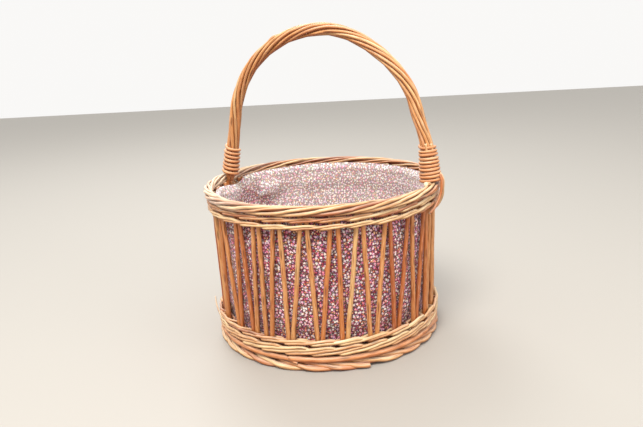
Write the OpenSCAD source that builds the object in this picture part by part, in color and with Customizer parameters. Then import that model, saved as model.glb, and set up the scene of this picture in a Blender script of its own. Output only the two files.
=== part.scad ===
// A round willow sewing basket with a fixed bow handle and a cotton lining.
// Z is up. The origin is on the table, under the middle of the basket.

/* [Basket] */
// Outer diameter of the rim border
rim_d = 290; // [270:1:310]
// Height of the top of the rim border
body_h = 190; // [170:1:210]
// How much nearer the axis the stakes stand at the foot than under the rim
wall_taper = 3; // [0:0.5:6]
// Twist of the side wall from rim to foot, in degrees
wall_twist = 2; // [0:0.5:4]

/* [Willow] */
// Diameter of a side stake
stake_d = 5.4; // [4.6:0.1:6]
// Thickness of the rolled rim border
border_d = 12; // [11:0.5:13]
// Diameter of the rods in the top waling
top_wale_d = 3.9; // [3.4:0.1:4.1]
// Diameter of the rods in the foot waling
foot_wale_d = 4.3; // [3.8:0.1:4.5]
// Diameter of the thick rod above the foot border
kick_d = 7.2; // [6.6:0.1:7.6]
// Height of the foot border
foot_h = 10.5; // [10:0.5:12]

/* [Handle] */
// Overall height, to the top of the handle
overall_h = 372; // [350:1:395]
// Radius of the round top of the bow, on its centre line
arch_r = 118; // [112:1:122]
// Lean of each leg from upright, feet outwards, in degrees
leg_lean = 11; // [8:0.5:13]
// How far the bow stands off the centre, along its own plane
bow_shift = 3; // [0:0.5:5]
// Turn of the handle's plane about the upright axis, in degrees
bow_turn = -22; // [-40:1:0]
// Diameter of the core rod
bow_d = 6.8; // [6:0.1:7]
// Diameter of a roping rod
rope_d = 4.2; // [3.8:0.1:4.2]
// Turns that the roping makes from one foot to the other
rope_turns = 2.25; // [1:0.25:2.5]
// Diameter of the lapping rod
lap_d = 3.7; // [3.4:0.1:3.8]

/* [Lining] */
// Thickness of the lining as sewn, two layers
cloth_t = 1.2; // [1:0.1:1.5]
// Depth of the turned hem under the rim
hem_h = 11; // [8:1:14]

/* [Hidden] */
pair_count = 28;
rope_count = 8;
stitch_count = 28;
gap = 0.1; // space left between pieces that only touch
ease = 0.5; // space left between pieces that stand apart
bite = 1; // how far two shapes of one solid overlap, and a cut runs past a face

pair_step = 360 / pair_count;
pair_half = 1.6; // half the angle between the two stakes of a pair
socket_half = 3.5; // the same, beside a foot of the handle

// Side wall
rim_r = rim_d / 2;
border_r = rim_r - border_d / 2;
border_z = body_h - border_d / 2;
border_overhang = 4.6; // from the stakes' circle out to the middle of the border
stake_top_r = border_r - border_overhang;
stake_foot_r = stake_top_r - wall_taper;
stake_z0 = foot_h + kick_d + ease;
stake_z1 = border_z - border_d / 2;
top_rows = 4;
foot_rows = 5;

// Base
base_z = 17; // middle of the base sticks
base_stick_d = 5.6;
slath_count = 4; // sticks each way
slath_pitch = base_stick_d + ease + gap;
slath_half = 24; // where the sticks start to open out
fan_step = 180 / (2 * slath_count); // angle between neighbouring sticks once opened
flat_t = 3; // thickness of a stick where it passes through a split
base_r = stake_foot_r - stake_d / 2 - foot_wale_d - ease;
weave_t = 2.6; // thickness of the weave on each side of the sticks
weave_hole_r = 17;
weave_inset = 4; // the underside's weave stops short of the foot border
stick_inset = 2; // and the sticks stop short of the waling

// Foot
foot_w = 14.5;
foot_out_r = stake_foot_r + 8.6;
kick_r = stake_foot_r + 3.9;

// Lining
lining_z0 = base_z + base_stick_d / 2 + weave_t + 2 * gap;
hem_rise = 3; // the hem reaches this far up behind the border
lining_z1 = stake_z1 + hem_rise;
lining_top_r = stake_top_r - stake_d / 2 - top_wale_d - ease;
lining_foot_r = base_r - gap;
hem_r = lining_top_r - cloth_t - ease;
thread_d = 1;
stitch_margin = [2, 1]; // from a stitch's ends to the hem's lower and upper edge
stitch_lean = 1; // degrees round the hem from one end of a stitch to the other

// Handle, in its own plane: x runs from foot to foot and y is up
rope_r = (rope_d + gap) / (2 * sin(180 / rope_count)); // centre of a roping rod from the bow's
apex_z = overall_h - rope_r - rope_d / 2;
arch_z = apex_z - arch_r;
foot_z = body_h + 1;
leg_top = [arch_r * cos(leg_lean), arch_z + arch_r * sin(leg_lean)];
leg_len = (leg_top[1] - foot_z) / cos(leg_lean);
foot_x = leg_top[0] + leg_len * sin(leg_lean);
arch_sweep = 180 - 2 * leg_lean;
arch_len = arch_r * arch_sweep * PI / 180;
bow_len = 2 * leg_len + arch_len;
lap_r = rope_r + rope_d / 2 + lap_d / 2 + gap;
lap_pitch_left = lap_d + 1.4; // the turns stand a little apart
lap_pitch_right = lap_d + 0.6;
lap_turns_left = 7;
lap_turns_right = 9.5;
lap_start = 2.2; // distance of the first turn from the bow's foot
tip_d = 5.2; // thickness of the bow where it passes the border
point_d = 4; // and at its sharpened end
rope_inset = 1; // the roping stops short of the bow's feet
// Where the bow stands outside its even shape: by how much, and the middle and half-length of
// that stretch as parts of the bow's length
knee = [3.6, 0.92, 0.10];
shoulder = [-2.8, 0.66, 0.15];
tail_d = 3.6;
// Distance from the axis and height of points along the tail, chosen by hand
tail_path = [[147.5, 203.5], [148.6, 197], [149, 191], [148.5, 184.5], [146.9, 178], [145, 172],
             [143.6, 166], [143.2, 160.5]];

// Loose end of a waling rod at the left of the foot: radius, angle, height and thickness at each end
loose_foot = [stake_foot_r + 8.8, -168, 31, 2.6];
loose_end = [stake_foot_r + 11, -171, 50, 1.6];

WILLOW = "peru";
PALE = "burlywood";
RUST = "chocolate";
CLOTH = "rosybrown";

function two(n) = str(n < 10 ? "0" : "", n);
function row_names(name, n) = [for (i = [1:n]) str(name, "_", i)];
PAIR_NAMES = [for (i = [1:pair_count]) str("stake_pair_", two(i))];
TOP_NAMES = row_names("top_wale", top_rows);
FOOT_NAMES = row_names("foot_wale", foot_rows);
ROPE_NAMES = row_names("handle_rope", rope_count);

// A point in cylindrical coordinates
function polar(r, a, z) = [r * cos(a), r * sin(a), z];

// A straight round rod from p to q
module rod(p, q, d, d2) {
    v = q - p;
    len = norm(v);
    translate(p)
        rotate([0, acos(v[2] / len), atan2(v[1], v[0])])
            cylinder(h = len, d1 = d, d2 = is_undef(d2) ? d : d2, $fn = 48);
}

// A round ring lying flat
module ring(r, z, d) {
    translate([0, 0, z]) rotate_extrude($fn = 180) translate([r, 0]) circle(d = d, $fn = 32);
}

// A bent rod. Each frame is [centre, first axis, second axis, radius].
module bent_rod(frames, sides) {
    n = len(frames);
    points = [for (f = frames) for (k = [0:sides - 1])
        f[0] + f[3] * (cos(360 * k / sides) * f[1] + sin(360 * k / sides) * f[2])];
    walls = [for (i = [0:n - 2]) for (k = [0:sides - 1]) let (j = (k + 1) % sides)
        each [[i * sides + k, (i + 1) * sides + j, i * sides + j],
              [i * sides + k, (i + 1) * sides + k, (i + 1) * sides + j]]];
    ends = [[for (k = [0:sides - 1]) k], [for (k = [0:sides - 1]) n * sides - 1 - k]];
    polyhedron(points, concat(walls, ends));
}

// ---- Base ----

// Middle of slath stick i, 0 to 3, off the centre line
function slath_off(i) = (i - (slath_count - 1) / 2) * slath_pitch;
// Direction of its end
function fan(i) = (i - (slath_count - 1) / 2) * fan_step;

// The opened ends of the four sticks that lie along X
module fanned_ends() {
    reach = base_r - stick_inset;
    for (side = [0, 180], i = [0:slath_count - 1])
        rotate(side)
            rod([slath_half, slath_off(i), base_z], polar(reach, fan(i), base_z), base_stick_d);
}

// Their straight middles
module slath_middles() {
    for (i = [0:slath_count - 1])
        rod([-slath_half - bite, slath_off(i), base_z], [slath_half + bite, slath_off(i), base_z],
            base_stick_d + gap);
}

module base_sticks_split() {
    color(WILLOW) {
        fanned_ends();
        difference() {
            slath_middles();
            translate([0, 0, base_z])
                cube([slath_count * slath_pitch + bite, slath_count * slath_pitch + 2 * bite,
                      flat_t + 2 * gap], center = true);
        }
    }
}

module base_sticks_through() {
    color(PALE) rotate(90) {
        fanned_ends();
        intersection() {
            slath_middles();
            translate([0, 0, base_z])
                cube([3 * slath_half, (slath_count + 1) * slath_pitch, flat_t], center = true);
        }
    }
}

module base_disc(z, r) {
    translate([0, 0, z]) difference() {
        cylinder(h = weave_t, r = r, $fn = 180);
        translate([0, 0, -bite]) cylinder(h = weave_t + 2 * bite, r = weave_hole_r, $fn = 96);
    }
}

module base_weave() {
    color(PALE) {
        base_disc(base_z + base_stick_d / 2 + gap, base_r);
        base_disc(base_z - base_stick_d / 2 - gap - weave_t, base_r - weave_inset);
    }
}

// An oval outline, w wide and h high
module oval(w, h) {
    polygon([for (a = [0:15:345]) [w / 2 * cos(a), h / 2 * sin(a)]]);
}

// Its underside is flat, because the basket stands on it
module foot_border() {
    worn = 1; // how much of the oval is missing underneath
    color(PALE) rotate_extrude($fn = 180) translate([foot_out_r - foot_w / 2, 0]) intersection() {
        translate([0, foot_h / 2 - worn]) oval(foot_w, foot_h + 2 * worn);
        translate([-foot_w / 2, 0]) square([foot_w, foot_h]);
    }
}

module kick_rod() {
    color(RUST) ring(kick_r, foot_h + kick_d / 2 + gap, kick_d);
}

// ---- Side wall ----

// One row of waling: the rods outside the stakes and the rods inside them
module wale_row(r, z, d) {
    off = (stake_d + d) / 2 + gap;
    ring(r + off, z, d);
    ring(r - off, z, d);
}

// Radius of the stakes' circle at height z
function stake_r(z) = stake_foot_r + wall_taper * (z - stake_z0) / (stake_z1 - stake_z0);

module foot_wale(i) {
    z = stake_z0 + (i - 0.5) * foot_wale_d;
    color(PALE) wale_row(stake_r(z), z, foot_wale_d - gap);
}

module top_wale(i) {
    z = stake_z1 - (i - 0.5) * top_wale_d;
    color(PALE) wale_row(stake_r(z), z, top_wale_d - gap);
}

// Half the angle between the stakes of pair i under the rim
function top_half(i) = (i % (pair_count / 2)) == 0 ? socket_half : pair_half;

// The pair stands together at the foot, and each rod leans to the next pair on its side
module stake_pair(i) {
    foot_a = bow_turn + (i + 0.5) * pair_step - wall_twist;
    color(WILLOW) for (side = [0, 1]) {
        top_a = bow_turn + (i + side) * pair_step + (side == 0 ? 1 : -1) * top_half(i + side);
        rod(polar(stake_foot_r, foot_a + (side == 0 ? -1 : 1) * pair_half, stake_z0),
            polar(stake_top_r, top_a, stake_z1 - gap), stake_d);
    }
}

module rim_border() {
    color(PALE) difference() {
        ring(border_r, border_z, border_d);
        for (side = [1, -1]) bow_neck(side, tip_d + 2 * gap);
    }
}

// ---- Handle ----

// From the handle's plane to the basket
function plane_dir() = [cos(bow_turn), sin(bow_turn), 0];
function plane_side() = [-sin(bow_turn), cos(bow_turn), 0];
function placed(x, z) = (x + bow_shift) * plane_dir() + [0, 0, z];

// Point of the bow at distance s from its left foot, and the direction that points out of the arch
function bow_xz(s) =
    s < leg_len ? [-foot_x + s * sin(leg_lean), foot_z + s * cos(leg_lean)] :
    s > bow_len - leg_len ?
        [foot_x - (bow_len - s) * sin(leg_lean), foot_z + (bow_len - s) * cos(leg_lean)] :
    let (a = bow_angle(s)) [arch_r * cos(a), arch_z + arch_r * sin(a)];
function bow_angle(s) =
    180 - leg_lean - arch_sweep * min(1, max(0, (s - leg_len) / arch_len));
// How far the bow stands outside that even shape
function hump(away, h) = abs(away) < h[2] ? h[0] * (1 + cos(180 * away / h[2])) / 2 : 0;
function bow_bend(s) = hump(s / bow_len - knee[1], knee) + hump(s / bow_len - shoulder[1], shoulder);
function bow_point(s) = placed(bow_xz(s)[0], bow_xz(s)[1]) + bow_bend(s) * bow_out(s);
function bow_out(s) = cos(bow_angle(s)) * plane_dir() + [0, 0, sin(bow_angle(s))];
function bow_along(s) = sin(bow_angle(s)) * plane_dir() - [0, 0, cos(bow_angle(s))];

// The sharpened ends of the bow stand among the stakes, between these heights
tip_z0 = stake_z1 - top_rows * top_wale_d;
tip_z1 = stake_z1 - ease;
function tip_point(side, z) = side * stake_top_r * plane_dir() + [0, 0, z];
function tip_frame(side, z, d) = [tip_point(side, z), side * plane_dir(), plane_side(), d / 2];

// The stretch of bow that passes the rim border
module bow_neck(side, d) {
    rod(tip_point(side, tip_z1), placed(side * foot_x, foot_z + ease), d);
}

module handle_bow() {
    steps = 56;
    arch = [for (i = [0:steps]) let (s = bow_len * i / steps)
        [bow_point(s), bow_out(s), plane_side(), i == 0 || i == steps ? tip_d / 2 : bow_d / 2]];
    color(RUST) bent_rod(concat(
        [tip_frame(-1, tip_z0, point_d), tip_frame(-1, tip_z1, tip_d)], arch,
        [tip_frame(1, tip_z1, tip_d), tip_frame(1, tip_z0, point_d)]), 12);
}

module handle_rope(i) {
    steps = 60;
    frames = [for (k = [0:steps]) let (
            s = rope_inset + (bow_len - 2 * rope_inset) * k / steps,
            a = 360 * (i / rope_count + rope_turns * k / steps),
            away = cos(a) * bow_out(s) + sin(a) * plane_side())
        [bow_point(s) + rope_r * away, bow_out(s), plane_side(), rope_d / 2]];
    color(i % 2 == 0 ? WILLOW : PALE) bent_rod(frames, 6);
}

// A thin rod wound round one leg; side is -1 for the left leg
module lapping(side, turns, pitch) {
    per_turn = 14;
    frames = [for (k = [0:turns * per_turn]) let (
            up = lap_start + pitch * k / per_turn,
            s = side < 0 ? up : bow_len - up,
            a = -side * 360 * k / per_turn,
            away = cos(a) * bow_out(s) + sin(a) * plane_side())
        [bow_point(s) + lap_r * away, away, bow_along(s), lap_d / 2]];
    color(WILLOW) bent_rod(frames, 6);
}

module handle_lap_left() {
    lapping(-1, lap_turns_left, lap_pitch_left);
}

module handle_lap_right() {
    lapping(1, lap_turns_right, lap_pitch_right);
}

module handle_tail() {
    n = len(tail_path);
    frames = [for (i = [0:n - 1]) let (
            ahead = tail_path[min(i + 1, n - 1)] - tail_path[max(i - 1, 0)],
            t = ahead / norm(ahead))
        [tail_path[i][0] * plane_dir() + [0, 0, tail_path[i][1]],
         plane_side(), t[1] * plane_dir() - [0, 0, t[0]], tail_d / 2]];
    color(RUST) bent_rod(frames, 10);
}

module rod_tip() {
    color(PALE) rod(polar(loose_foot[0], loose_foot[1], loose_foot[2]),
                    polar(loose_end[0], loose_end[1], loose_end[2]), loose_foot[3], loose_end[3]);
}

// ---- Lining ----

module lining_wall() {
    color(CLOTH) rotate_extrude($fn = 180) polygon([
        [lining_foot_r, lining_z0], [lining_top_r, lining_z1],
        [lining_top_r - cloth_t, lining_z1], [lining_foot_r - cloth_t, lining_z0]]);
}

module lining_base() {
    color(CLOTH) translate([0, 0, lining_z0])
        cylinder(h = cloth_t, r = lining_foot_r - cloth_t - gap, $fn = 180);
}

module lining_hem() {
    color(CLOTH) translate([0, 0, lining_z1 - hem_h]) difference() {
        cylinder(h = hem_h, r = hem_r, $fn = 180);
        translate([0, 0, -bite]) cylinder(h = hem_h + 2 * bite, r = hem_r - cloth_t, $fn = 180);
    }
}

module lining_thread() {
    r = hem_r - cloth_t - gap - thread_d / 2;
    color("linen") for (i = [0:stitch_count - 1]) {
        a = i * 360 / stitch_count;
        rod(polar(r, a, lining_z1 - hem_h + stitch_margin[0]),
            polar(r, a + stitch_lean, lining_z1 - stitch_margin[1]), thread_d);
    }
}

base_sticks_split();
base_sticks_through();
base_weave();
foot_border();
kick_rod();
for (i = [1:foot_rows]) foot_wale(i);
for (i = [1:pair_count]) stake_pair(i);
for (i = [1:top_rows]) top_wale(i);
rim_border();
handle_bow();
for (i = [1:rope_count]) handle_rope(i);
handle_lap_left();
handle_lap_right();
handle_tail();
rod_tip();
lining_wall();
lining_base();
lining_hem();
lining_thread();
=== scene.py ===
"""A lined willow sewing basket with a fixed bow handle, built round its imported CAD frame. Metres, Z up."""

import math
import random

import bpy
import numpy as np
from mathutils import Matrix, Vector


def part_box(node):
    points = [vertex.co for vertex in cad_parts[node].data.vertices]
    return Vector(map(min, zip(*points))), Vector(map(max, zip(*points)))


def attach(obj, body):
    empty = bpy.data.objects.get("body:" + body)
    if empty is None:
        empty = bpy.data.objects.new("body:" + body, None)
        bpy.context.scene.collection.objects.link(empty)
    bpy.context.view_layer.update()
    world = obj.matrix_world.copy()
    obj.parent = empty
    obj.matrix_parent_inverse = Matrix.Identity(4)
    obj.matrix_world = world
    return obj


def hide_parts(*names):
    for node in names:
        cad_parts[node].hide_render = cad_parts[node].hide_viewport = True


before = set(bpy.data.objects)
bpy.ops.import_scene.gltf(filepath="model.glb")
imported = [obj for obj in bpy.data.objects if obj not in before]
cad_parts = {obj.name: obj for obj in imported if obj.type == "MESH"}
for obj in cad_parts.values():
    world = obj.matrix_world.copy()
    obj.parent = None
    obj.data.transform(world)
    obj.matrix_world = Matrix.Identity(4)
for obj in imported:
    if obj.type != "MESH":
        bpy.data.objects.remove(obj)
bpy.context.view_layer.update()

TAU = 2 * math.pi
MM = 0.001

# ---------------------------------------------------------------- sizes, from the frame

PAIRS = 28
TURN = math.radians(-22)  # the handle's plane, and the first pair of stakes
PITCH = TAU / PAIRS
PAIR_HALF = math.radians(1.6)
WALL_TWIST = math.radians(2)
SOCKET_HALF = math.radians(3.5)

RIM_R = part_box("rim_border")[1][0]
RIM_Z0, RIM_Z1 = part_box("rim_border")[0][2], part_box("rim_border")[1][2]
BORDER_D = RIM_Z1 - RIM_Z0
BORDER_R = RIM_R - BORDER_D / 2
BORDER_Z = (RIM_Z0 + RIM_Z1) / 2

TOP_ROWS, LOW_ROWS = 4, 5
FOOT_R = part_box("foot_border")[1][0]
FOOT_W = 14.5 * MM
FOOT_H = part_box("foot_border")[1][2]
KICK_Z0, KICK_Z1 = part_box("kick_rod")[0][2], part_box("kick_rod")[1][2]
KICK_D = KICK_Z1 - KICK_Z0
KICK_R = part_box("kick_rod")[1][0] - KICK_D / 2

TOP_Z1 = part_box("top_wale_1")[1][2]
TOP_Z0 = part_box("top_wale_4")[0][2]
LOW_Z0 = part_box("foot_wale_1")[0][2]
LOW_Z1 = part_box("foot_wale_5")[1][2]
TOP_WALE_D = (TOP_Z1 - TOP_Z0) / TOP_ROWS
LOW_WALE_D = (LOW_Z1 - LOW_Z0) / LOW_ROWS
STAKE_D = 5.4 * MM
STAKE_TOP_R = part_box("top_wale_1")[1][0] - TOP_WALE_D - STAKE_D / 2
STAKE_FOOT_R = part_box("foot_wale_1")[1][0] - LOW_WALE_D - STAKE_D / 2

LINING_Z0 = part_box("lining_wall")[0][2]
LINING_Z1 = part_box("lining_wall")[1][2] + 1.5 * MM
LINING_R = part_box("lining_hem")[1][0] + 1.3 * MM
HEM_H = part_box("lining_hem")[1][2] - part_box("lining_hem")[0][2]
STITCHES = 28
CLOTH_T = 0.5 * MM
LINING_FOOT_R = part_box("lining_base")[1][0]

ARCH_R = 118 * MM
LEAN = math.radians(11)
SHIFT = 3 * MM
BOW_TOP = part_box("handle_bow")[1][2] - 3.4 * MM  # centre line at the top of the arch
ARCH_Z = BOW_TOP - ARCH_R
FOOT_Z = RIM_Z1 + 1 * MM
LEG_TOP = (ARCH_R * math.cos(LEAN), ARCH_Z + ARCH_R * math.sin(LEAN))
LEG_LEN = (LEG_TOP[1] - FOOT_Z) / math.cos(LEAN)
FOOT_X = LEG_TOP[0] + LEG_LEN * math.sin(LEAN)
ARCH_LEN = ARCH_R * (math.pi - 2 * LEAN)
BOW_LEN = 2 * LEG_LEN + ARCH_LEN
ROPES = 8
ROPE_D = 4.2 * MM
ROPE_R = 5.62 * MM
LAP_D = 3.7 * MM
LAP_R = ROPE_R + ROPE_D / 2 + LAP_D / 2 + 0.1 * MM

# ---------------------------------------------------------------- camera and light


def make_camera():
    """The photograph's viewpoint: 0.85 m from the basket, looking a little down, rolled to the left."""
    place = Vector((0, -0.769, 0.3527))
    pitch, yaw, roll = -0.2658, -0.0041, -0.0517
    ahead = Vector((math.sin(yaw) * math.cos(pitch), math.cos(yaw) * math.cos(pitch), math.sin(pitch)))
    right = ahead.cross(Vector((0, 0, 1))).normalized()
    up = right.cross(ahead)
    right, up = (
        math.cos(roll) * right + math.sin(roll) * up,
        math.cos(roll) * up - math.sin(roll) * right,
    )
    data = bpy.data.cameras.new("camera")
    data.sensor_width = 36
    data.lens = 35.78
    data.clip_start = 0.01
    camera = bpy.data.objects.new("camera", data)
    turn = Matrix((right, up, -ahead)).transposed().to_4x4()
    camera.matrix_world = Matrix.Translation(place) @ turn
    bpy.context.scene.collection.objects.link(camera)
    bpy.context.scene.camera = camera


def area_light(name, place, target, size, watts, colour):
    data = bpy.data.lights.new(name, "AREA")
    data.shape = "DISK"
    data.size = size
    data.energy = watts
    data.color = colour
    lamp = bpy.data.objects.new(name, data)
    lamp.location = place
    lamp.rotation_euler = (Vector(target) - Vector(place)).to_track_quat("-Z", "Y").to_euler()
    bpy.context.scene.collection.objects.link(lamp)


def make_light():
    bpy.context.scene.view_settings.view_transform = "Standard"
    world = bpy.data.worlds.new("studio")
    bpy.context.scene.world = world
    world.use_nodes = True
    sky = world.node_tree.nodes["Background"]
    sky.inputs["Color"].default_value = (1.0, 0.99, 0.975, 1)
    sky.inputs["Strength"].default_value = 0.95
    area_light("key", (-0.35, -1.05, 1.75), (0, 0, 0.12), 0.8, 35, (1.0, 0.97, 0.93))
    area_light("fill", (1.3, -0.9, 0.7), (0, 0, 0.12), 1.0, 6, (1.0, 0.98, 0.96))
    area_light("back", (-0.4, 1.1, 1.6), (0, 0, 0.2), 0.8, 14, (0.97, 0.98, 1.0))


def make_floor():
    mesh = bpy.data.meshes.new("floor")
    half = 3.0
    corners = [(-half, -half, 0), (half, -half, 0), (half, half, 0), (-half, half, 0)]
    mesh.from_pydata(corners, [], [(0, 1, 2, 3)])
    floor = bpy.data.objects.new("floor", mesh)
    bpy.context.scene.collection.objects.link(floor)
    material = bpy.data.materials.new("floor")
    material.use_nodes = True
    shader = material.node_tree.nodes["Principled BSDF"]
    shader.inputs["Base Color"].default_value = (0.44, 0.415, 0.375, 1)
    shader.inputs["Roughness"].default_value = 0.6
    mesh.materials.append(material)


# ---------------------------------------------------------------- materials


class Nodes:
    """Short calls for one material's node tree."""

    def __init__(self, name):
        self.material = bpy.data.materials.new(name)
        self.material.use_nodes = True
        self.tree = self.material.node_tree
        self.shader = self.tree.nodes["Principled BSDF"]

    def add(self, kind, **settings):
        node = self.tree.nodes.new("ShaderNode" + kind)
        for key, value in settings.items():
            setattr(node, key, value)
        return node

    def feed(self, socket, value):
        if isinstance(value, bpy.types.NodeSocket):
            self.tree.links.new(value, socket)
        elif value is not None:
            socket.default_value = value

    def math(self, operation, a, b=None, c=None, clamp=False):
        node = self.add("Math", operation=operation, use_clamp=clamp)
        for socket, value in zip(node.inputs, (a, b, c)):
            self.feed(socket, value)
        return node.outputs[0]

    def mix(self, factor, a, b, blend="MIX", clamp=False):
        node = self.add("Mix", data_type="RGBA", blend_type=blend, clamp_result=clamp)
        self.feed(node.inputs["Factor"], factor)
        self.feed(node.inputs[6], a)
        self.feed(node.inputs[7], b)
        return node.outputs[2]

    def ramp(self, factor, stops, interpolation="LINEAR"):
        node = self.add("ValToRGB")
        node.color_ramp.interpolation = interpolation
        elements = node.color_ramp.elements
        while len(elements) < len(stops):
            elements.new(0.5)
        for element, (place, colour) in zip(elements, stops):
            element.position = place
            element.color = (*colour, 1)
        self.feed(node.inputs[0], factor)
        return node.outputs[0]

    def attribute(self, name):
        return self.add("Attribute", attribute_name=name).outputs["Fac"]

    def uv(self, scale=(1, 1, 1), offset=None):
        node = self.add("Mapping")
        self.feed(node.inputs["Vector"], self.add("UVMap", uv_map="UVMap").outputs[0])
        node.inputs["Scale"].default_value = scale
        if offset is not None:
            self.feed(node.inputs["Location"], offset)
        return node.outputs[0]

    def noise(self, vector, scale, detail=2.0, rough=0.5):
        node = self.add("TexNoise")
        self.feed(node.inputs["Vector"], vector)
        node.inputs["Scale"].default_value = scale
        node.inputs["Detail"].default_value = detail
        node.inputs["Roughness"].default_value = rough
        return node.outputs["Fac"]

    def voronoi(self, vector, scale, randomness=1.0):
        node = self.add("TexVoronoi", voronoi_dimensions="2D")
        self.feed(node.inputs["Vector"], vector)
        node.inputs["Scale"].default_value = scale
        node.inputs["Randomness"].default_value = randomness
        return node

    def bump(self, height, strength, distance):
        node = self.add("Bump")
        self.feed(node.inputs["Height"], height)
        node.inputs["Strength"].default_value = strength
        node.inputs["Distance"].default_value = distance
        self.feed(self.shader.inputs["Normal"], node.outputs[0])

    def spread(self, value, low, high):
        """value from low..high to 0..1, held at the ends"""
        node = self.add("MapRange")
        self.feed(node.inputs["Value"], value)
        node.inputs["From Min"].default_value = low
        node.inputs["From Max"].default_value = high
        return node.outputs[0]


def srgb(red, green, blue):
    """A colour picker's 0-255 values as the linear numbers a shader wants."""
    out = []
    for value in (red, green, blue):
        v = value / 255
        out.append(v / 12.92 if v <= 0.04045 else ((v + 0.055) / 1.055) ** 2.4)
    return tuple(out)


CUT_WOOD = srgb(238, 216, 186)
# the pale of sun-bleached willow; on faces that look up and on the basket's left it also serves as painted
# highlight
BLEACHED_AND_HIGHLIGHT = srgb(250, 240, 220)


def willow(name, tints, bleach_and_highlight_amount, left_bleach_and_highlight=0.0):
    """Peeled, boiled willow. Each rod's tone picks a tint, and grain, scars and stains run along the rod.

    The UV map is in metres: u along the rod and v round it. Faces that look up turn paler, partly sun
    bleaching and partly a painted highlight, and faces that look down get painted shade. The fourth argument
    makes the basket's left paler, partly sun bleaching and partly a painted highlight where the key light
    falls.
    """
    n = Nodes(name)
    tone = n.attribute("tone")
    shift = n.add("CombineXYZ")
    n.feed(shift.inputs[0], n.math("MULTIPLY", tone, 7.3))
    n.feed(shift.inputs[1], n.math("MULTIPLY", tone, 3.1))
    along = n.uv((60, 700, 1), shift.outputs[0])
    patches = n.uv((22, 60, 1), shift.outputs[0])
    grain = n.noise(along, 1.0, 4.0, 0.62)
    stain = n.noise(patches, 1.0, 3.0, 0.55)
    fibre = n.noise(n.uv((140, 2600, 1), shift.outputs[0]), 1.0, 2.0, 0.5)

    pick = n.math("ADD", tone, n.math("MULTIPLY", n.math("SUBTRACT", stain, 0.5), 0.7))
    colour = n.ramp(pick, tints)
    dark = n.mix(1.0, colour, (*srgb(178, 128, 92), 1), "MULTIPLY")
    colour = n.mix(n.spread(grain, 0.50, 0.72), colour, dark)
    colour = n.mix(n.math("MULTIPLY", n.spread(grain, 0.48, 0.25), 0.30), colour, (*BLEACHED_AND_HIGHLIGHT, 1))

    # bud scars: small dark ovals, a few centimetres apart along each rod
    scars = n.voronoi(n.uv((26, 170, 1), shift.outputs[0]), 1.0)
    scar = n.spread(scars.outputs["Distance"], 0.20, 0.10)
    chosen = n.add("SeparateColor")
    n.feed(chosen.inputs[0], scars.outputs["Color"])
    scar = n.math("MULTIPLY", scar, n.math("GREATER_THAN", chosen.outputs[0], 0.62))
    colour = n.mix(n.math("MULTIPLY", scar, 0.65), colour, (*srgb(92, 46, 20), 1))

    # painted shade on what faces down; what faces up turns paler, partly sun bleaching and partly a painted
    # highlight
    facing = n.add("SeparateXYZ")
    n.feed(facing.inputs[0], n.add("NewGeometry").outputs["Normal"])
    under = n.spread(facing.outputs[2], 0.25, -0.65)
    painted_underside_shade = n.mix(1.0, colour, (*srgb(166, 112, 76), 1), "MULTIPLY")
    colour = n.mix(n.math("MULTIPLY", under, 0.85), colour, painted_underside_shade)
    # painted highlight together with sun bleaching: faces that look up are mixed toward the bleached pale
    upward_bleach_and_highlight = n.math("MULTIPLY", n.spread(facing.outputs[2], 0.2, 0.95), bleach_and_highlight_amount)
    colour = n.mix(n.math("MULTIPLY", upward_bleach_and_highlight, n.spread(stain, 0.15, 0.7)), colour, (*BLEACHED_AND_HIGHLIGHT, 1))
    # painted highlight on the basket's left, where the key light falls, together with sun bleaching
    if left_bleach_and_highlight:
        place = n.add("SeparateXYZ")
        n.feed(place.inputs[0], n.add("NewGeometry").outputs["Position"])
        left = n.math("MULTIPLY", n.spread(place.outputs[0], -0.07, -0.135), left_bleach_and_highlight)
        colour = n.mix(n.math("MULTIPLY", left, n.spread(grain, 0.75, 0.3)), colour, (*BLEACHED_AND_HIGHLIGHT, 1))
    colour = n.mix(n.attribute("cut"), colour, (*CUT_WOOD, 1))
    n.feed(n.shader.inputs["Base Color"], colour)
    n.feed(n.shader.inputs["Roughness"], n.math("MULTIPLY_ADD", grain, 0.30, 0.30))
    n.shader.inputs["Specular IOR Level"].default_value = 0.45
    n.shader.inputs["Coat Weight"].default_value = 0.06
    n.shader.inputs["Coat Roughness"].default_value = 0.35
    height = n.math("MULTIPLY_ADD", fibre, 0.35, grain)
    height = n.math("SUBTRACT", height, n.math("MULTIPLY", scar, 1.2))
    n.bump(height, 0.55, 0.0004)
    return n.material


def core_wood(name, tints):
    """The bow's own rod, which has no UV map: grain stretched along the object's height."""
    n = Nodes(name)
    place = n.add("Mapping")
    n.feed(place.inputs["Vector"], n.add("TexCoord").outputs["Object"])
    place.inputs["Scale"].default_value = (900, 900, 60)
    grain = n.noise(place.outputs[0], 1.0, 4.0, 0.6)
    n.feed(n.shader.inputs["Base Color"], n.ramp(grain, tints))
    n.feed(n.shader.inputs["Roughness"], n.math("MULTIPLY_ADD", grain, 0.30, 0.35))
    n.bump(grain, 0.5, 0.0004)
    return n.material


def petals(n, cells, size, count, depth):
    """1 inside a flower with count petals at each Voronoi cell's centre, fading over its edge."""
    offset = n.add("VectorMath", operation="SUBTRACT")
    n.feed(offset.inputs[0], cells["vector"])
    n.feed(offset.inputs[1], cells["node"].outputs["Position"])
    parts = n.add("SeparateXYZ")
    n.feed(parts.inputs[0], offset.outputs[0])
    angle = n.math("ARCTAN2", parts.outputs[1], parts.outputs[0])
    turned = n.math("MULTIPLY_ADD", cells["random"], 6.28, n.math("MULTIPLY", angle, float(count)))
    wave = n.math("MULTIPLY_ADD", n.math("COSINE", turned), depth, 1.0 - depth)
    reach = n.math("MULTIPLY", wave, size)
    edge = n.math("SUBTRACT", reach, cells["node"].outputs["Distance"])
    return n.math("MULTIPLY", edge, 4.5 / size, clamp=True)


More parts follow.
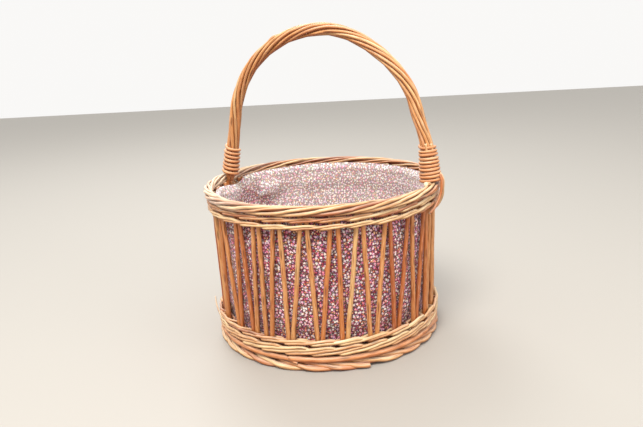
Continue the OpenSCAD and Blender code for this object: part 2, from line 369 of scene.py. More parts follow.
def flower_cells(n, scale):
    """A jittered grid of cells on the UV map, with each cell's own random numbers."""
    vector = n.uv((scale, scale, 1))
    node = n.voronoi(vector, 1.0, randomness=0.85)
    split = n.add("SeparateColor")
    n.feed(split.inputs[0], node.outputs["Color"])
    return {
        "node": node,
        "vector": vector,
        "random": split.outputs[0],
        "other": split.outputs[1],
        "third": split.outputs[2],
    }


def scatter(n, under, pitch, size, count, depth, share, colours, outline=None):
    """Lays one kind of flower or leaf over the colour under. pitch is the spacing in metres.

    size and depth shape the petals, share is how many cells stay empty, and each flower takes one of colours.
    """
    cells = flower_cells(n, 1 / pitch)
    wanted = n.math("GREATER_THAN", cells["other"], share)
    if outline:
        ring = n.math("MULTIPLY", petals(n, cells, size * 1.25, count, depth), wanted)
        under = n.mix(ring, under, (*outline, 1))
    stops = [(k / len(colours), colour) for k, colour in enumerate(colours)]
    tint = n.ramp(cells["random"], stops, "CONSTANT")
    mask = n.math("MULTIPLY", petals(n, cells, size, count, depth), wanted)
    return n.mix(mask, under, tint), cells, wanted


def inner_side(n):
    """1 on the cloth's faces that look into the basket, 0 on those that look out through the stakes."""
    geometry = n.add("NewGeometry")
    product = n.add("VectorMath", operation="DOT_PRODUCT")
    n.feed(product.inputs[0], geometry.outputs["Normal"])
    flat = n.add("VectorMath", operation="MULTIPLY")
    n.feed(flat.inputs[0], geometry.outputs["Position"])
    n.feed(flat.inputs[1], (1, 1, 0))
    n.feed(product.inputs[1], flat.outputs[0])
    looks_in = n.math("LESS_THAN", product.outputs["Value"], -0.02)
    parts = n.add("SeparateXYZ")
    n.feed(parts.inputs[0], geometry.outputs["Normal"])
    return n.math("MAXIMUM", looks_in, n.math("GREATER_THAN", parts.outputs[2], 0.5))


def print_cloth(name):
    """Cotton lawn with a dense allover print of small flowers on a dark maroon ground. On the inner face the
    print is drawn paler and brighter, a painted light where daylight falls into the basket, and the folds at
    the left keep the darker print as painted shade.
    """
    n = Nodes(name)
    outline = srgb(66, 30, 46)
    ground = [
        (0.35, srgb(66, 27, 42)), (0.5, srgb(108, 47, 66)),
        (0.62, srgb(62, 58, 54)), (0.75, srgb(90, 54, 68)),
    ]
    colour = n.ramp(n.noise(n.uv((600, 600, 1)), 1.0, 2.0), ground)
    leaf = [
        srgb(120, 124, 92), srgb(142, 150, 134), srgb(160, 66, 78),
        srgb(200, 154, 112), srgb(134, 108, 158),
    ]
    colour, _, _ = scatter(n, colour, 0.0018, 0.42, 2, 0.32, 0.05, leaf)
    bud = [
        srgb(208, 84, 126), srgb(230, 148, 184), srgb(236, 182, 138), srgb(168, 146, 184),
        srgb(224, 134, 90), srgb(240, 226, 228), srgb(178, 54, 78), srgb(162, 174, 168),
    ]
    colour, _, _ = scatter(n, colour, 0.0028, 0.38, 4, 0.18, 0.08, bud, outline)
    bloom = [
        srgb(250, 208, 228), srgb(255, 248, 250), srgb(230, 194, 234), srgb(252, 230, 240),
        srgb(238, 140, 178), srgb(255, 246, 252), srgb(240, 180, 206),
    ]
    colour, cells, wanted = scatter(n, colour, 0.0047, 0.33, 5, 0.17, 0.14, bloom, srgb(62, 28, 44))
    eye = n.math("MULTIPLY", petals(n, cells, 0.11, 1, 0.0), wanted)
    eye_tint = n.ramp(cells["third"], [(0.0, srgb(164, 50, 66)), (0.5, srgb(220, 176, 92))], "CONSTANT")
    colour = n.mix(eye, colour, eye_tint)
    # painted light: the inner face is drawn paler and brighter than the outer, as where daylight falls into
    # the basket
    painted_inner_light = n.mix(0.16, colour, (*srgb(240, 234, 230), 1))
    painted_inner_light = n.mix(1.0, painted_inner_light, (1.65, 1.85, 1.72, 1), "MULTIPLY", clamp=True)
    colour = n.mix(1.0, colour, (1.26, 1.20, 1.12, 1), "MULTIPLY", clamp=True)
    # painted shade in the folds at the left: there the inner face keeps the darker print
    painted_fold_shade = n.math("SUBTRACT", 1.0, n.attribute("painted_fold_shade"))
    colour = n.mix(n.math("MULTIPLY", inner_side(n), painted_fold_shade), colour, painted_inner_light)
    n.feed(n.shader.inputs["Base Color"], colour)
    n.shader.inputs["Roughness"].default_value = 0.85
    n.shader.inputs["Specular IOR Level"].default_value = 0.25
    n.shader.inputs["Sheen Weight"].default_value = 0.25
    n.shader.inputs["Sheen Roughness"].default_value = 0.5
    threads = n.add("TexWave", wave_type="BANDS", bands_direction="X")
    n.feed(threads.inputs["Vector"], n.uv((1, 1, 1)))
    threads.inputs["Scale"].default_value = 420
    cross = n.add("TexWave", wave_type="BANDS", bands_direction="Y")
    n.feed(cross.inputs["Vector"], n.uv((1, 1, 1)))
    cross.inputs["Scale"].default_value = 420
    weave = n.math("MAXIMUM", threads.outputs["Fac"], cross.outputs["Fac"])
    n.bump(weave, 0.25, 0.00015)
    return n.material


def cotton(name, colour):
    n = Nodes(name)
    twist = n.add("TexWave", wave_type="BANDS", bands_direction="DIAGONAL")
    n.feed(twist.inputs["Vector"], n.uv((1, 1, 1)))
    twist.inputs["Scale"].default_value = 900
    n.feed(
        n.shader.inputs["Base Color"],
        n.mix(twist.outputs["Fac"], tuple(0.7 * c for c in colour) + (1,), (*colour, 1)),
    )
    n.shader.inputs["Roughness"].default_value = 0.8
    n.bump(twist.outputs["Fac"], 0.6, 0.0002)
    return n.material


BROWN_TINTS = [
    (0.0, srgb(182, 102, 50)),
    (0.3, srgb(206, 126, 64)),
    (0.5, srgb(208, 142, 82)),
    (0.75, srgb(218, 156, 94)),
    (1.0, srgb(226, 182, 122)),
]
PALE_TINTS = [
    (0.0, srgb(158, 86, 42)),
    (0.3, srgb(200, 126, 74)),
    (0.65, srgb(214, 160, 104)),
    (1.0, srgb(226, 190, 136)),
]
RUST_TINTS = [
    (0.0, srgb(156, 84, 42)),
    (0.4, srgb(200, 122, 66)),
    (0.75, srgb(214, 146, 88)),
    (1.0, srgb(224, 176, 122)),
]

# ---------------------------------------------------------------- rods


def make_piece(name, verts, faces, uvs, values, material):
    """A smooth mesh that rides on the frame. uvs has one entry for each corner of each face.

    values gives each attribute that the material reads one number for each point.
    """
    mesh = bpy.data.meshes.new(name)
    mesh.from_pydata([tuple(v) for v in verts], [], faces)
    layer = mesh.uv_layers.new(name="UVMap")
    layer.data.foreach_set("uv", np.array(uvs, float).ravel())
    for key, numbers in values.items():
        attribute = mesh.attributes.new(key, "FLOAT", "POINT")
        attribute.data.foreach_set("value", np.array(numbers, float))
    mesh.polygons.foreach_set("use_smooth", [True] * len(mesh.polygons))
    mesh.materials.append(material)
    piece = bpy.data.objects.new(name, mesh)
    bpy.context.scene.collection.objects.link(piece)
    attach(piece, "root")
    return piece


class Rods:
    """Gathers round rods into one mesh, with a UV map in metres and each rod's tone."""

    def __init__(self, name):
        self.name = name
        self.verts, self.faces, self.uvs = [], [], []
        self.tones, self.cuts = [], []

    def add(self, points, radii, tone, sides=10, closed=False):
        """A rod along points. radii is one number, or one for each point. Open ends are cut square."""
        points = np.asarray(points, float)
        count = len(points)
        radii = np.full(count, radii) if np.isscalar(radii) else np.asarray(radii, float)
        if closed:
            ahead = np.roll(points, -1, 0) - np.roll(points, 1, 0)
        else:
            ahead = np.gradient(points, axis=0)
        ahead /= np.linalg.norm(ahead, axis=1)[:, None]
        side = np.array((0.013, 0.021, 1.0))
        if abs(np.dot(side, ahead[0])) > 0.9 * np.linalg.norm(side):
            side = np.array((1.0, 0.1, 0.0))
        sides_of = []
        for direction in ahead:
            side = side - np.dot(side, direction) * direction
            side /= np.linalg.norm(side)
            sides_of.append(side)
        first = np.array(sides_of)
        second = np.cross(ahead, first)
        turn = np.arange(sides) * TAU / sides
        ring = (
            points[:, None]
            + radii[:, None, None]
            * (np.cos(turn)[None, :, None] * first[:, None] + np.sin(turn)[None, :, None] * second[:, None])
        )
        start = len(self.verts)
        steps = np.linalg.norm(np.diff(points, axis=0), axis=1)
        run = np.concatenate([[0], np.cumsum(steps)])
        total = run[-1] + (np.linalg.norm(points[0] - points[-1]) if closed else 0)
        self.verts.extend(ring.reshape(-1, 3))
        self.tones.extend([tone] * (count * sides))
        self.cuts.extend([0.0] * (count * sides))
        girth = TAU * float(radii.mean()) / sides
        last = count if closed else count - 1
        for i in range(last):
            j = (i + 1) % count
            u0, u1 = run[i], (run[i + 1] if i + 1 < count else total)
            for k in range(sides):
                m = (k + 1) % sides
                here, there = start + i * sides, start + j * sides
                self.faces.append((here + k, here + m, there + m, there + k))
                v0, v1 = k * girth, (k + 1) * girth
                self.uvs.extend([(u0, v0), (u0, v1), (u1, v1), (u1, v0)])
        if not closed:
            self.cap(ring[0], points[0], -ahead[0], radii[0], tone, start, True)
            self.cap(ring[-1], points[-1], ahead[-1], radii[-1], tone, start + (count - 1) * sides, False)

    def cap(self, ring, centre, out, radius, tone, first, flip):
        """A cut end: a small bevel, then the flat of the cut."""
        sides = len(ring)
        bevel = centre + 0.80 * (ring - centre) + 0.14 * radius * out
        base = len(self.verts)
        self.verts.extend(bevel)
        self.verts.append(centre + 0.16 * radius * out)
        self.tones.extend([tone] * (sides + 1))
        self.cuts.extend([1.0] * (sides + 1))
        for k in range(sides):
            m = (k + 1) % sides
            quad = (first + k, first + m, base + m, base + k)
            fan = (base + k, base + m, base + sides)
            flat = [(0, 0), (0, 0.001), (0.001, 0.001), (0.001, 0)]
            if flip:
                quad, fan = quad[::-1], fan[::-1]
            self.faces.extend([quad, fan])
            self.uvs.extend(flat + flat[:3])

    def build(self, material, slot, *replaced):
        values = {"tone": self.tones, "cut": self.cuts}
        piece = make_piece(self.name, self.verts, self.faces, self.uvs, values, material)
        piece.data.validate()
        if replaced:
            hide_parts(*replaced)


def polar(r, a, z):
    return np.array((r * math.cos(a), r * math.sin(a), z))


def smooth(x):
    x = np.clip(x, 0, 1)
    return x * x * (3 - 2 * x)


def wobble(rng, count, size, waves=5):
    """A smooth random run of count numbers of about that size."""
    x = np.linspace(0, 1, count)
    run = np.zeros(count)
    for k in range(1, waves + 1):
        run += rng.uniform(-1, 1) / k * np.sin(TAU * (k * x * rng.uniform(0.7, 1.3) + rng.random()))
    return size * run


def taper(rng, count, butt, tip, uneven=0.03):
    """Radii from the butt of a rod to its tip, a little uneven."""
    radii = butt + (tip - butt) * np.linspace(0, 1, count)
    return radii * (1 + wobble(rng, count, uneven))


# ---------------------------------------------------------------- side wall


def stake_r(z):
    low, high = KICK_Z1, RIM_Z0
    return STAKE_FOOT_R + (STAKE_TOP_R - STAKE_FOOT_R) * (z - low) / (high - low)


def top_half(i):
    return SOCKET_HALF if i % (PAIRS // 2) == 0 else PAIR_HALF


# Degrees by which the pairs at the front stand off their even places: at the foot and under the rim
FOOT_NUDGE = {18: 4.5, 19: 3.5, 20: -0.5, 21: -1.5, 24: 0.5, 25: 1, 26: 2, 27: 1}
TOP_NUDGE = {19: 2.5, 20: 1, 24: -1, 26: 2, 27: 3.5}


def make_stakes(material):
    """The two rods of a pair stand together at the foot and part on the way up."""
    rng = random.Random(11)
    foot_off = [math.radians(FOOT_NUDGE.get(i, rng.uniform(-1, 1))) for i in range(PAIRS + 1)]
    top_off = [math.radians(TOP_NUDGE.get(i, rng.uniform(-0.6, 0.6))) for i in range(PAIRS + 1)]
    top_off[0], foot_off[0] = top_off[PAIRS], foot_off[PAIRS]
    for i in range(1, PAIRS + 1):
        rods = Rods(f"side_stakes_{i:02d}")
        foot = TURN + (i + 0.5) * PITCH - WALL_TWIST + foot_off[i]
        half = PAIR_HALF * rng.uniform(0.78, 1.15)
        for side in (0, 1):
            a0 = foot + (2 * side - 1) * half
            a1 = TURN + (i + side) * PITCH + (1 if side == 0 else -1) * top_half(i + side)
            a1 += top_off[(i + side - 1) % PAIRS + 1] + math.radians(rng.uniform(-0.3, 0.3))
            count = 26
            t = np.linspace(0, 1, count)
            z0, z1 = KICK_Z0 + 1 * MM, RIM_Z0 + 1.5 * MM
            bow = wobble(rng, count, 0.0006, 3) * np.sin(math.pi * t)
            push = wobble(rng, count, 0.0004, 3) * np.sin(math.pi * t)
            points = []
            for k in range(count):
                z = z0 + (z1 - z0) * t[k]
                rise = np.clip((z - LOW_Z1) / (TOP_Z0 - LOW_Z1), -0.06, 1.08)
                a = a0 + (a1 - a0) * (0.85 * rise + 0.15 * smooth(rise))
                r = stake_r(z) + push[k]
                r -= 2.2 * MM * smooth((LOW_Z0 - z) / (LOW_Z0 - z0))
                points.append(polar(r, a + bow[k] / STAKE_TOP_R, z))
            radii = taper(rng, count, 0.50 * STAKE_D, 0.45 * STAKE_D, 0.03)
            tone = min(1, max(0, rng.gauss(0.5, 0.28)))
            rods.add(points, radii, tone, 12)
        rods.build(material, "willow_brown", f"stake_pair_{i:02d}")


def weaver(rng, phase, period, z_low, rod_d, start, rounds):
    """Centre line of one rod of a wale: before period - 1 pairs of stakes, then behind one.

    t counts pairs of stakes round the basket from start. Before each pair that it passes, the rod lies one
    row higher, and each round climbs by all the rows, in a step at its end.
    """
    per_pair = 10
    rows = period - 1
    t = np.linspace(phase, rounds * PAIRS + phase, rounds * PAIRS * per_pair + 1)
    u = np.mod(t - phase, period)
    front = smooth((u - 0.22) / 0.42) * smooth((period - 0.30 - u) / 0.44)
    rise = (rows - 1) * (smooth((u - 0.4) / (period - 0.9)) - smooth((u - period + 0.8) / 0.5))
    done = t / PAIRS
    level = np.minimum(np.floor(done) + smooth((np.mod(done, 1) - 0.9) / 0.1), rounds - 1)
    z = z_low + rod_d * (0.5 + rows * level + rise) + wobble(rng, len(t), 0.00025, 9)
    offset = (STAKE_D + rod_d) / 2
    belly = 1.1 * MM * np.sin(math.pi * np.mod(u, 1)) * front
    r = stake_r(z) + offset * (2 * front - 1) + belly
    a = TURN + (start + t) * PITCH
    return np.stack([r * np.cos(a), r * np.sin(a), z], 1), per_pair


def make_wale(names, material, period, z_low, rod_d, start, rounds, shade, nodes, seed):
    """A wale of period rods. Each rod is spliced from several, a little thinner from butt to tip."""
    rng = random.Random(seed)
    for phase in range(period):
        rods = Rods(names[phase])
        points, per_pair = weaver(rng, phase, period, z_low, rod_d, start, rounds)
        pairs = rounds * PAIRS
        splices = [k * period for k in (0, 5, 10, 14, 19) if k * period < pairs - period] + [pairs + 1]
        for a, b in zip(splices, splices[1:]):
            first, last = max(0, a * per_pair - 1), min(len(points), b * per_pair + 2)
            size = rod_d * rng.uniform(0.90, 1.06)
            radii = taper(rng, last - first, 0.52 * size, 0.38 * size, 0.06)
            tone = min(1, max(0, rng.gauss(shade, 0.36)))
            rods.add(points[first:last], radii, tone, 10)
        rods.build(material, "willow_pale", *nodes[phase])


def squarish(x):
    """Turns a circle's cosine or sine into that of a rounder square."""
    return math.copysign(abs(x) ** 0.75, x)


def rolled(start, centre, half, lead, sense, first_angle, spread):
    """Centre line of one border rod, wound once round a squarish tube.

    centre and half are the tube's middle and half-size, each as radius and height. Angle 0 faces out and 90
    degrees up. spread makes the tube wider below than above.
    """
    steps = 44
    points = []
    for k in range(steps + 1):
        a = start + k / steps * lead / centre[0]
        b = first_angle + sense * TAU * k / steps
        high = half[1] * squarish(math.sin(b))
        points.append(polar(centre[0] + half[0] * squarish(math.cos(b)) - spread * high, a, centre[1] + high))
    return np.array(points)


def ring_core(rods, r, z, radius):
    """A rod that fills the middle of a border, mostly out of sight. Its tone 0.0 takes the darkest tint,
    painted shade where it shows in the gaps between the border's rods.
    """
    a = np.linspace(0, TAU, 121)[:-1]
    points = np.stack([r * np.cos(a), r * np.sin(a), np.full_like(a, z)], 1)
    rods.add(points, radius, 0.0, 8, closed=True)


def make_rim(material):
    """Rolled border: each pair of stakes gives one rod, which winds once round the border."""
    rng = random.Random(23)
    rods = Rods("rim_rods")
    strands = 6
    lead = strands * TAU * BORDER_R / PAIRS
    thick = 1.95 * MM
    half = BORDER_D / 2 - thick - 0.1 * MM
    ring_core(rods, BORDER_R, BORDER_Z, 2.1 * MM)
    for i in range(PAIRS):
        start = TURN + (i + 0.3 + rng.uniform(-0.2, 0.2)) * PITCH
        points = rolled(start, (BORDER_R, BORDER_Z), (half, half), lead, 1, math.radians(225), 0)
        points += np.stack([wobble(rng, len(points), 0.0004, 4) for _ in range(3)], 1)
        size = thick * rng.uniform(0.80, 1.06)
        radii = taper(rng, len(points), size * 1.12, size * 0.78, 0.04)
        rods.add(points, radii, min(1, max(0, rng.gauss(0.6, 0.32))), 10)
    rods.build(material, "willow_pale", "rim_border")


def make_foot(material):
    """Foot border of thick rods, wound the other way. One rod's cut end shows at the front."""
    rng = random.Random(31)
    rods = Rods("foot_rods")
    count, strands = 28, 4
    thick = 2.85 * MM
    centre = (FOOT_R - FOOT_W / 2 - 0.5 * MM, FOOT_H / 2)
    half = (FOOT_W / 2 - thick - 0.8 * MM, FOOT_H / 2 - thick)
    lead = strands * TAU * centre[0] / count
    core_half = 2.2 * MM
    for sign in (-1, 1):
        ring_core(rods, centre[0] + sign * core_half, centre[1], core_half)
    short, short_part = 22, 0.50  # the rod that ends low on the outer face
    for i in range(count):
        start = TURN + math.radians((2.2 if i == short else rng.uniform(2.4, 6.0))) + i * TAU / count
        points = rolled(start, centre, half, lead, -1, math.radians(120), 0.9)
        points += np.stack([wobble(rng, len(points), 0.00035, 4) for _ in range(3)], 1)
        size = thick * rng.uniform(0.86, 1.06)
        radii = taper(rng, len(points), size * 1.10, size * 0.84, 0.04)
        points[:, 2] = np.maximum(points[:, 2], radii * 1.02)
        if i == short:
            keep = int(short_part * len(points))
            points, radii = points[:keep], radii[:keep]
            away = polar(1, start + short_part * lead / centre[0], 0)
            points[-8:] += np.linspace(0, 2.4 * MM, 8)[:, None] * away
        rods.add(points, radii, min(1, max(0, rng.gauss(0.62, 0.28))), 12)
    rods.build(material, "willow_pale", "foot_border")


def make_kick(material):
    """Three thick rods laid end over end round the basket, above the foot border.

    Each starts with its butt and tapers to a tip, which dives out over the border under the next rod's butt.
    """
    rng = random.Random(37)
    rods = Rods("kick_rods")
    joints = [-110, 15, 136]
    mid_z = (KICK_Z0 + KICK_Z1) / 2
    for j, (a, b) in enumerate(zip(joints, joints[1:] + [joints[0] + 360])):
        count = 110
        f = np.linspace(0, 1, count)
        angle = np.radians(a + (b + 4 - a) * f)
        dive = smooth((f - 0.945) / 0.055)
        r = KICK_R + 0.6 * MM * smooth((0.05 - f) / 0.05) + 2.6 * MM * smooth((f - 0.965) / 0.03)
        z = mid_z + wobble(rng, count, 0.0004) - 3.6 * MM * dive
        radii = taper(rng, count, 0.50 * KICK_D, 0.43 * KICK_D, 0.02)
        radii *= 1 - 0.5 * smooth((f - 0.94) / 0.055)
        points = np.stack([r * np.cos(angle), r * np.sin(angle), z], 1)
        rods.add(points, radii, (0.55, 0.4, 0.6)[j], 14)
    rods.build(material, "willow_rust", "kick_rod")


# ---------------------------------------------------------------- handle

PLANE = np.array((math.cos(TURN), math.sin(TURN), 0))
SIDE = np.array((-math.sin(TURN), math.cos(TURN), 0))
UP = np.array((0, 0, 1.0))


def bow_angle(s):
    return math.pi - LEAN - (math.pi - 2 * LEAN) * min(1, max(0, (s - LEG_LEN) / ARCH_LEN))


def hump(part, middle, half):
    away = abs(part - middle) / half
    return (1 + math.cos(math.pi * away)) / 2 if away < 1 else 0.0


def bow_bend(s):
    """How far the bow stands outside its even shape: out at the right knee and in at the shoulder."""
    part = s / BOW_LEN
    return 3.6 * MM * hump(part, 0.92, 0.10) - 2.8 * MM * hump(part, 0.66, 0.15)


def bow_point(s):
    """Point of the bow at distance s from its left foot."""
    if s < LEG_LEN:
        x, z = -FOOT_X + s * math.sin(LEAN), FOOT_Z + s * math.cos(LEAN)
    elif s > BOW_LEN - LEG_LEN:
        x, z = FOOT_X - (BOW_LEN - s) * math.sin(LEAN), FOOT_Z + (BOW_LEN - s) * math.cos(LEAN)
    else:
        a = bow_angle(s)
        x, z = ARCH_R * math.cos(a), ARCH_Z + ARCH_R * math.sin(a)
    return (x + SHIFT) * PLANE + z * UP + bow_bend(s) * bow_out(s)


def bow_out(s):
    a = bow_angle(s)
    return math.cos(a) * PLANE + math.sin(a) * UP


def rope_angle(part):
    """Turns made by the roping at a part of the bow's length: slow in the left leg, quicker over the top."""
    return 2.25 * (0.72 * part + 0.28 * smooth(part))


def make_ropes(material_brown, material_pale):
    """The rods that hide the bow, laid along it in a slow twist."""
    rng = random.Random(41)
    for i in range(1, ROPES + 1):
        rods = Rods(f"roping_rod_{i}")
        count = 200
        s = np.linspace(-9 * MM, BOW_LEN + 9 * MM, count)
        drift = wobble(rng, count, 0.10, 4)
        lift = wobble(rng, count, 0.0004, 7)
        points = []
        for k in range(count):
            a = TAU * (i / ROPES + rope_angle(k / (count - 1))) + drift[k]
            away = math.cos(a) * bow_out(s[k]) + math.sin(a) * SIDE
            part = s[k] / BOW_LEN
            full = 0.8 * MM * hump(part, 0.93, 0.035)
            kink = 1.6 * MM * hump(part, 0.386, 0.018) if i == 1 else 0
            end = smooth((8 * MM + min(s[k], BOW_LEN - s[k])) / (10 * MM))
            points.append(bow_point(s[k]) + (ROPE_R + lift[k] + full + kink) * (0.5 + 0.5 * end) * away)
        radii = taper(rng, count, 0.51 * ROPE_D, 0.40 * ROPE_D, 0.04)
        if i % 2:
            radii = radii[::-1]
        rods.add(points, radii, min(1, max(0, rng.gauss(0.5, 0.3))), 12)
        material, slot = (material_pale, "willow_pale") if i % 2 else (material_brown, "willow_brown")
        rods.build(material, slot, f"handle_rope_{i}")


def make_lapping(name, side, turns, pitch, thick, flare, material, node, seed):
    """A thin rod wound round the foot of one leg, which ends in a short upright tip.

    flare gives how far the first turn stands out and how much nearer the turns come on the way up: evenly,
    and at the top.
    """
    rng = random.Random(seed)
    rods = Rods(name)
    per_turn = 28
    count = int(turns * per_turn) + 1
    ups = -0.8 * MM + pitch * np.arange(count) / per_turn
    ups = ups + wobble(rng, count, 0.0005, 14)
    ups[-8:] += np.linspace(0, 3 * MM, 8)
    puff = wobble(rng, count, 0.0003, 22)
    out, evenly, at_top = flare
    points = []
    for k in range(count):
        s = ups[k] if side < 0 else BOW_LEN - ups[k]
        a = -side * TAU * k / per_turn
        away = math.cos(a) * bow_out(s) + math.sin(a) * SIDE
        part = k / count
        wide = LAP_R + puff[k] + MM * (out - evenly * part - at_top * part**4)
        points.append(bow_point(s) + wide * away)
    radii = thick * taper(rng, count, 1.03, 0.95, 0.03)
    radii[-8:] *= 0.8
    rods.add(points, radii, 0.75, 10)
    rods.build(material, "willow_brown", node)


# Points in the handle's plane: distance from the axis, height, and how far behind the plane, in millimetres.
# Two roping rods leave the lapping at the right and run down over the rim.
TAILS = [
    [(136, 207, 0), (141, 201.6, 0), (146.2, 196.8, 0), (148.6, 190, -0.5), (148.4, 182, -1), (148, 174, -2),
     (145.6, 167, -4), (142.4, 162, -7), (137.5, 159, -10)],
    [(145.5, 198, -3), (148, 193, -4.2), (148.2, 187, -5), (147.8, 181, -6), (146.8, 174.5, -8),
     (144.8, 168, -11), (141.8, 161.8, -16.5), (137.8, 157, -23)],
]
# Two cut ends stand just above the right lapping, and a thicker one lies on the rim beside it.
STUBS = [
    ((132, 224, -8.2), (130.6, 233.4, -8.6), 1.75),
    ((137.6, 224.5, -5), (136, 233, -5.6), 1.7),
    ((136, 187, -7.2), (134.4, 191, -25.2), 2.6),
]


def through(points, count):
    """A smooth curve through a few points (Catmull-Rom)."""
    p = np.asarray(points, float)
    p = np.vstack([2 * p[0] - p[1], p, 2 * p[-1] - p[-2]])
    out = []
    for x in np.linspace(0, len(p) - 3 - 1e-9, count):
        i = int(x)
        t = x - i
        a, b, c, d = p[i : i + 4]
        out.append(
            0.5 * (2 * b + (c - a) * t + (2 * a - 5 * b + 4 * c - d) * t * t + (3 * b - a - 3 * c + d) * t**3)
        )
    return np.array(out)


def in_plane(across, z, behind):
    """A point given in the handle's plane, in millimetres."""
    return across * MM * PLANE + z * MM * UP + behind * MM * SIDE


def make_tail(material_pale, material_rust):
    """Roping rods that leave the lapping at the right, come down over the rim and are tucked in."""
    rods = Rods("handle_tail_rod")
    path = [in_plane(*point) for point in TAILS[0]]
    rods.add(through(path, 44), np.linspace(2.0, 1.7, 44) * MM, 0.85, 12)
    rods.build(material_pale, "willow_rust", "handle_tail")
    rods = Rods("handle_tail_rod_2")
    path = [in_plane(*point) for point in TAILS[1]]
    rods.add(through(path, 44), np.linspace(1.9, 1.6, 44) * MM, 0.3, 12)
    rods.build(material_rust, "willow_rust")


def make_stubs(material):
    """Pale cut ends of rods at the foot of the right leg."""
    rods = Rods("roping_rod_ends")
    for first, last, radius in STUBS:
        rods.add(through([in_plane(*first), in_plane(*last)], 8), radius * MM, 0.95, 12)
    rods.build(material, "willow_pale")


def make_tip(material):
    """The loose tip of a waling rod at the left of the foot."""
    rods = Rods("loose_rod_tip")
    route = [(137.5, -165, 25.5), (140.3, -168, 31.5), (142.3, -170, 40), (142.8, -171, 49.5)]
    path = [polar(r * MM, math.radians(a), z * MM) for r, a, z in route]
    rods.add(through(path, 24), np.linspace(1.25, 0.75, 24) * MM, 0.9, 8)
    rods.build(material, "willow_pale", "rod_tip")


# ---------------------------------------------------------------- base


def make_base(material_brown, material_pale):
    """Eight sticks crossed at the middle and opened out, with pairs of thin rods woven round them."""
    rng = random.Random(53)
    z = (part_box("base_sticks_through")[0][2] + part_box("base_sticks_through")[1][2]) / 2
    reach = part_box("base_sticks_split")[1][0]
    spokes = 16
    elbow = 24 * MM
    step = 6.2 * MM
    stick_half = 2.8 * MM
    for name, turn, node, material, slot in (
        ("base_sticks_a", 0.0, "base_sticks_split", material_brown, "willow_brown"),
        ("base_sticks_b", math.pi / 2, "base_sticks_through", material_pale, "willow_pale"),
    ):
        rods = Rods(name)
        for i in range(4):
            off = (i - 1.5) * step
            ends = []
            a = (i - 1.5) * TAU / spokes
            for sign in (-1, 1):
                ends.append([(sign * reach * math.cos(a), reach * math.sin(a)), (sign * elbow, off)])
            path = [ends[0][0], ends[0][1], (0, off), ends[1][1], ends[1][0]]
            curve = through([(x, y, 0) for x, y in path], 60)
            c, s = math.cos(turn), math.sin(turn)
            points = [(c * x - s * y, s * x + c * y, z) for x, y, _ in curve]
            rods.add(points, taper(rng, 60, 2.9 * MM, 2.6 * MM), rng.uniform(0.2, 0.8), 12)
        rods.build(material, slot, node)
    rods = Rods("base_weave_rods")
    thick = 1.45 * MM
    pitch = 3.3 * MM
    inner, outer = 22 * MM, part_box("base_weave")[1][0] - 2.2 * MM
    rounds = int((outer - inner) / pitch)
    for which in (0, 1):
        samples = rounds * spokes * 6
        t = np.linspace(0, rounds * spokes, samples)
        r = inner + pitch * t / spokes
        over = np.cos(math.pi * (t + which))
        a = TAU * (t + 0.5) / spokes
        height = z + (stick_half + thick) * np.sign(over) * np.abs(over) ** 0.6
        points = np.stack([r * np.cos(a), r * np.sin(a), height], 1)
        rods.add(points, thick * (1 + wobble(rng, samples, 0.04, 20)), 0.4 + 0.3 * which, 6)
    rods.build(material_pale, "willow_pale", "base_weave")


# ---------------------------------------------------------------- lining


def lining_r(z):
    """Radius of the lining: inside both bands of waling, behind the stakes, and out under the rim."""
    foot = smooth((z - LOW_Z1 + 4 * MM) / (20 * MM))
    top = smooth((TOP_Z0 - 1 * MM - z) / (18 * MM))
    behind = stake_r(z) - STAKE_D / 2 - 1.2 * MM
    low = LINING_FOOT_R + 0.6 * MM
    r = low + (behind - low) * foot
    r = LINING_R - 0.6 * MM + (r - LINING_R + 0.6 * MM) * top
    return r + 5.0 * MM * smooth((z - RIM_Z0 + 1.0 * MM) / (4.5 * MM))


# How far the top edge of the lining has slipped down, in millimetres, at angles round the basket
SLIPPED = [
    (-180, 1.5), (-120, 0.5), (0, 0), (90, 0), (112, 1.3), (138, 1.3), (143, 2), (147, 3.5),
    (152, 7), (157, 7), (163, 5), (170, 3), (180, 1.5),
]


def slipped(degrees):
    angles, drops = zip(*SLIPPED)
    return MM * float(np.interp(degrees, angles, drops))


def between(x, first, last, ease_in, ease_out):
    """0 outside first..last and 1 inside, with a slope of ease_in at the start and ease_out at the end."""
    return smooth((x - first) / ease_in) * smooth((last - x) / ease_out)


def billow(degrees, z):
    """How far the loose cloth stands in from its even place: two soft folds at the left of the back."""
    up = z / MM
    first = 8.5 * between(degrees, 112, 135.5 - 0.12 * (up - 155), 15, 3.2) * between(up, 146, 176, 5, 18)
    second = 6.0 * between(degrees, 152.5, 180, 2.2, 14) * between(up, 150, 178, 8, 10)
    ridge = 2.2 * between(degrees, 138, 149, 5, 5) * between(up, 152, 176, 10, 9)
    tuck = 2.6 * between(degrees, 88, 106, 9, 9) * between(up, 138, 172, 14, 16)
    return MM * (first + second + ridge + tuck)


def sheet_mesh(name, verts, uvs, faces, material, painted_fold_shade):
    """A sheet of cloth with a little thickness. The last argument may give the painted shade in the cloth's
    folds, which keeps its print dark there.
    """
    piece = make_piece(name, verts, faces, uvs, painted_fold_shade, material)
    thick = piece.modifiers.new("thickness", "SOLIDIFY")
    thick.thickness = CLOTH_T
    thick.offset = 0
    return piece


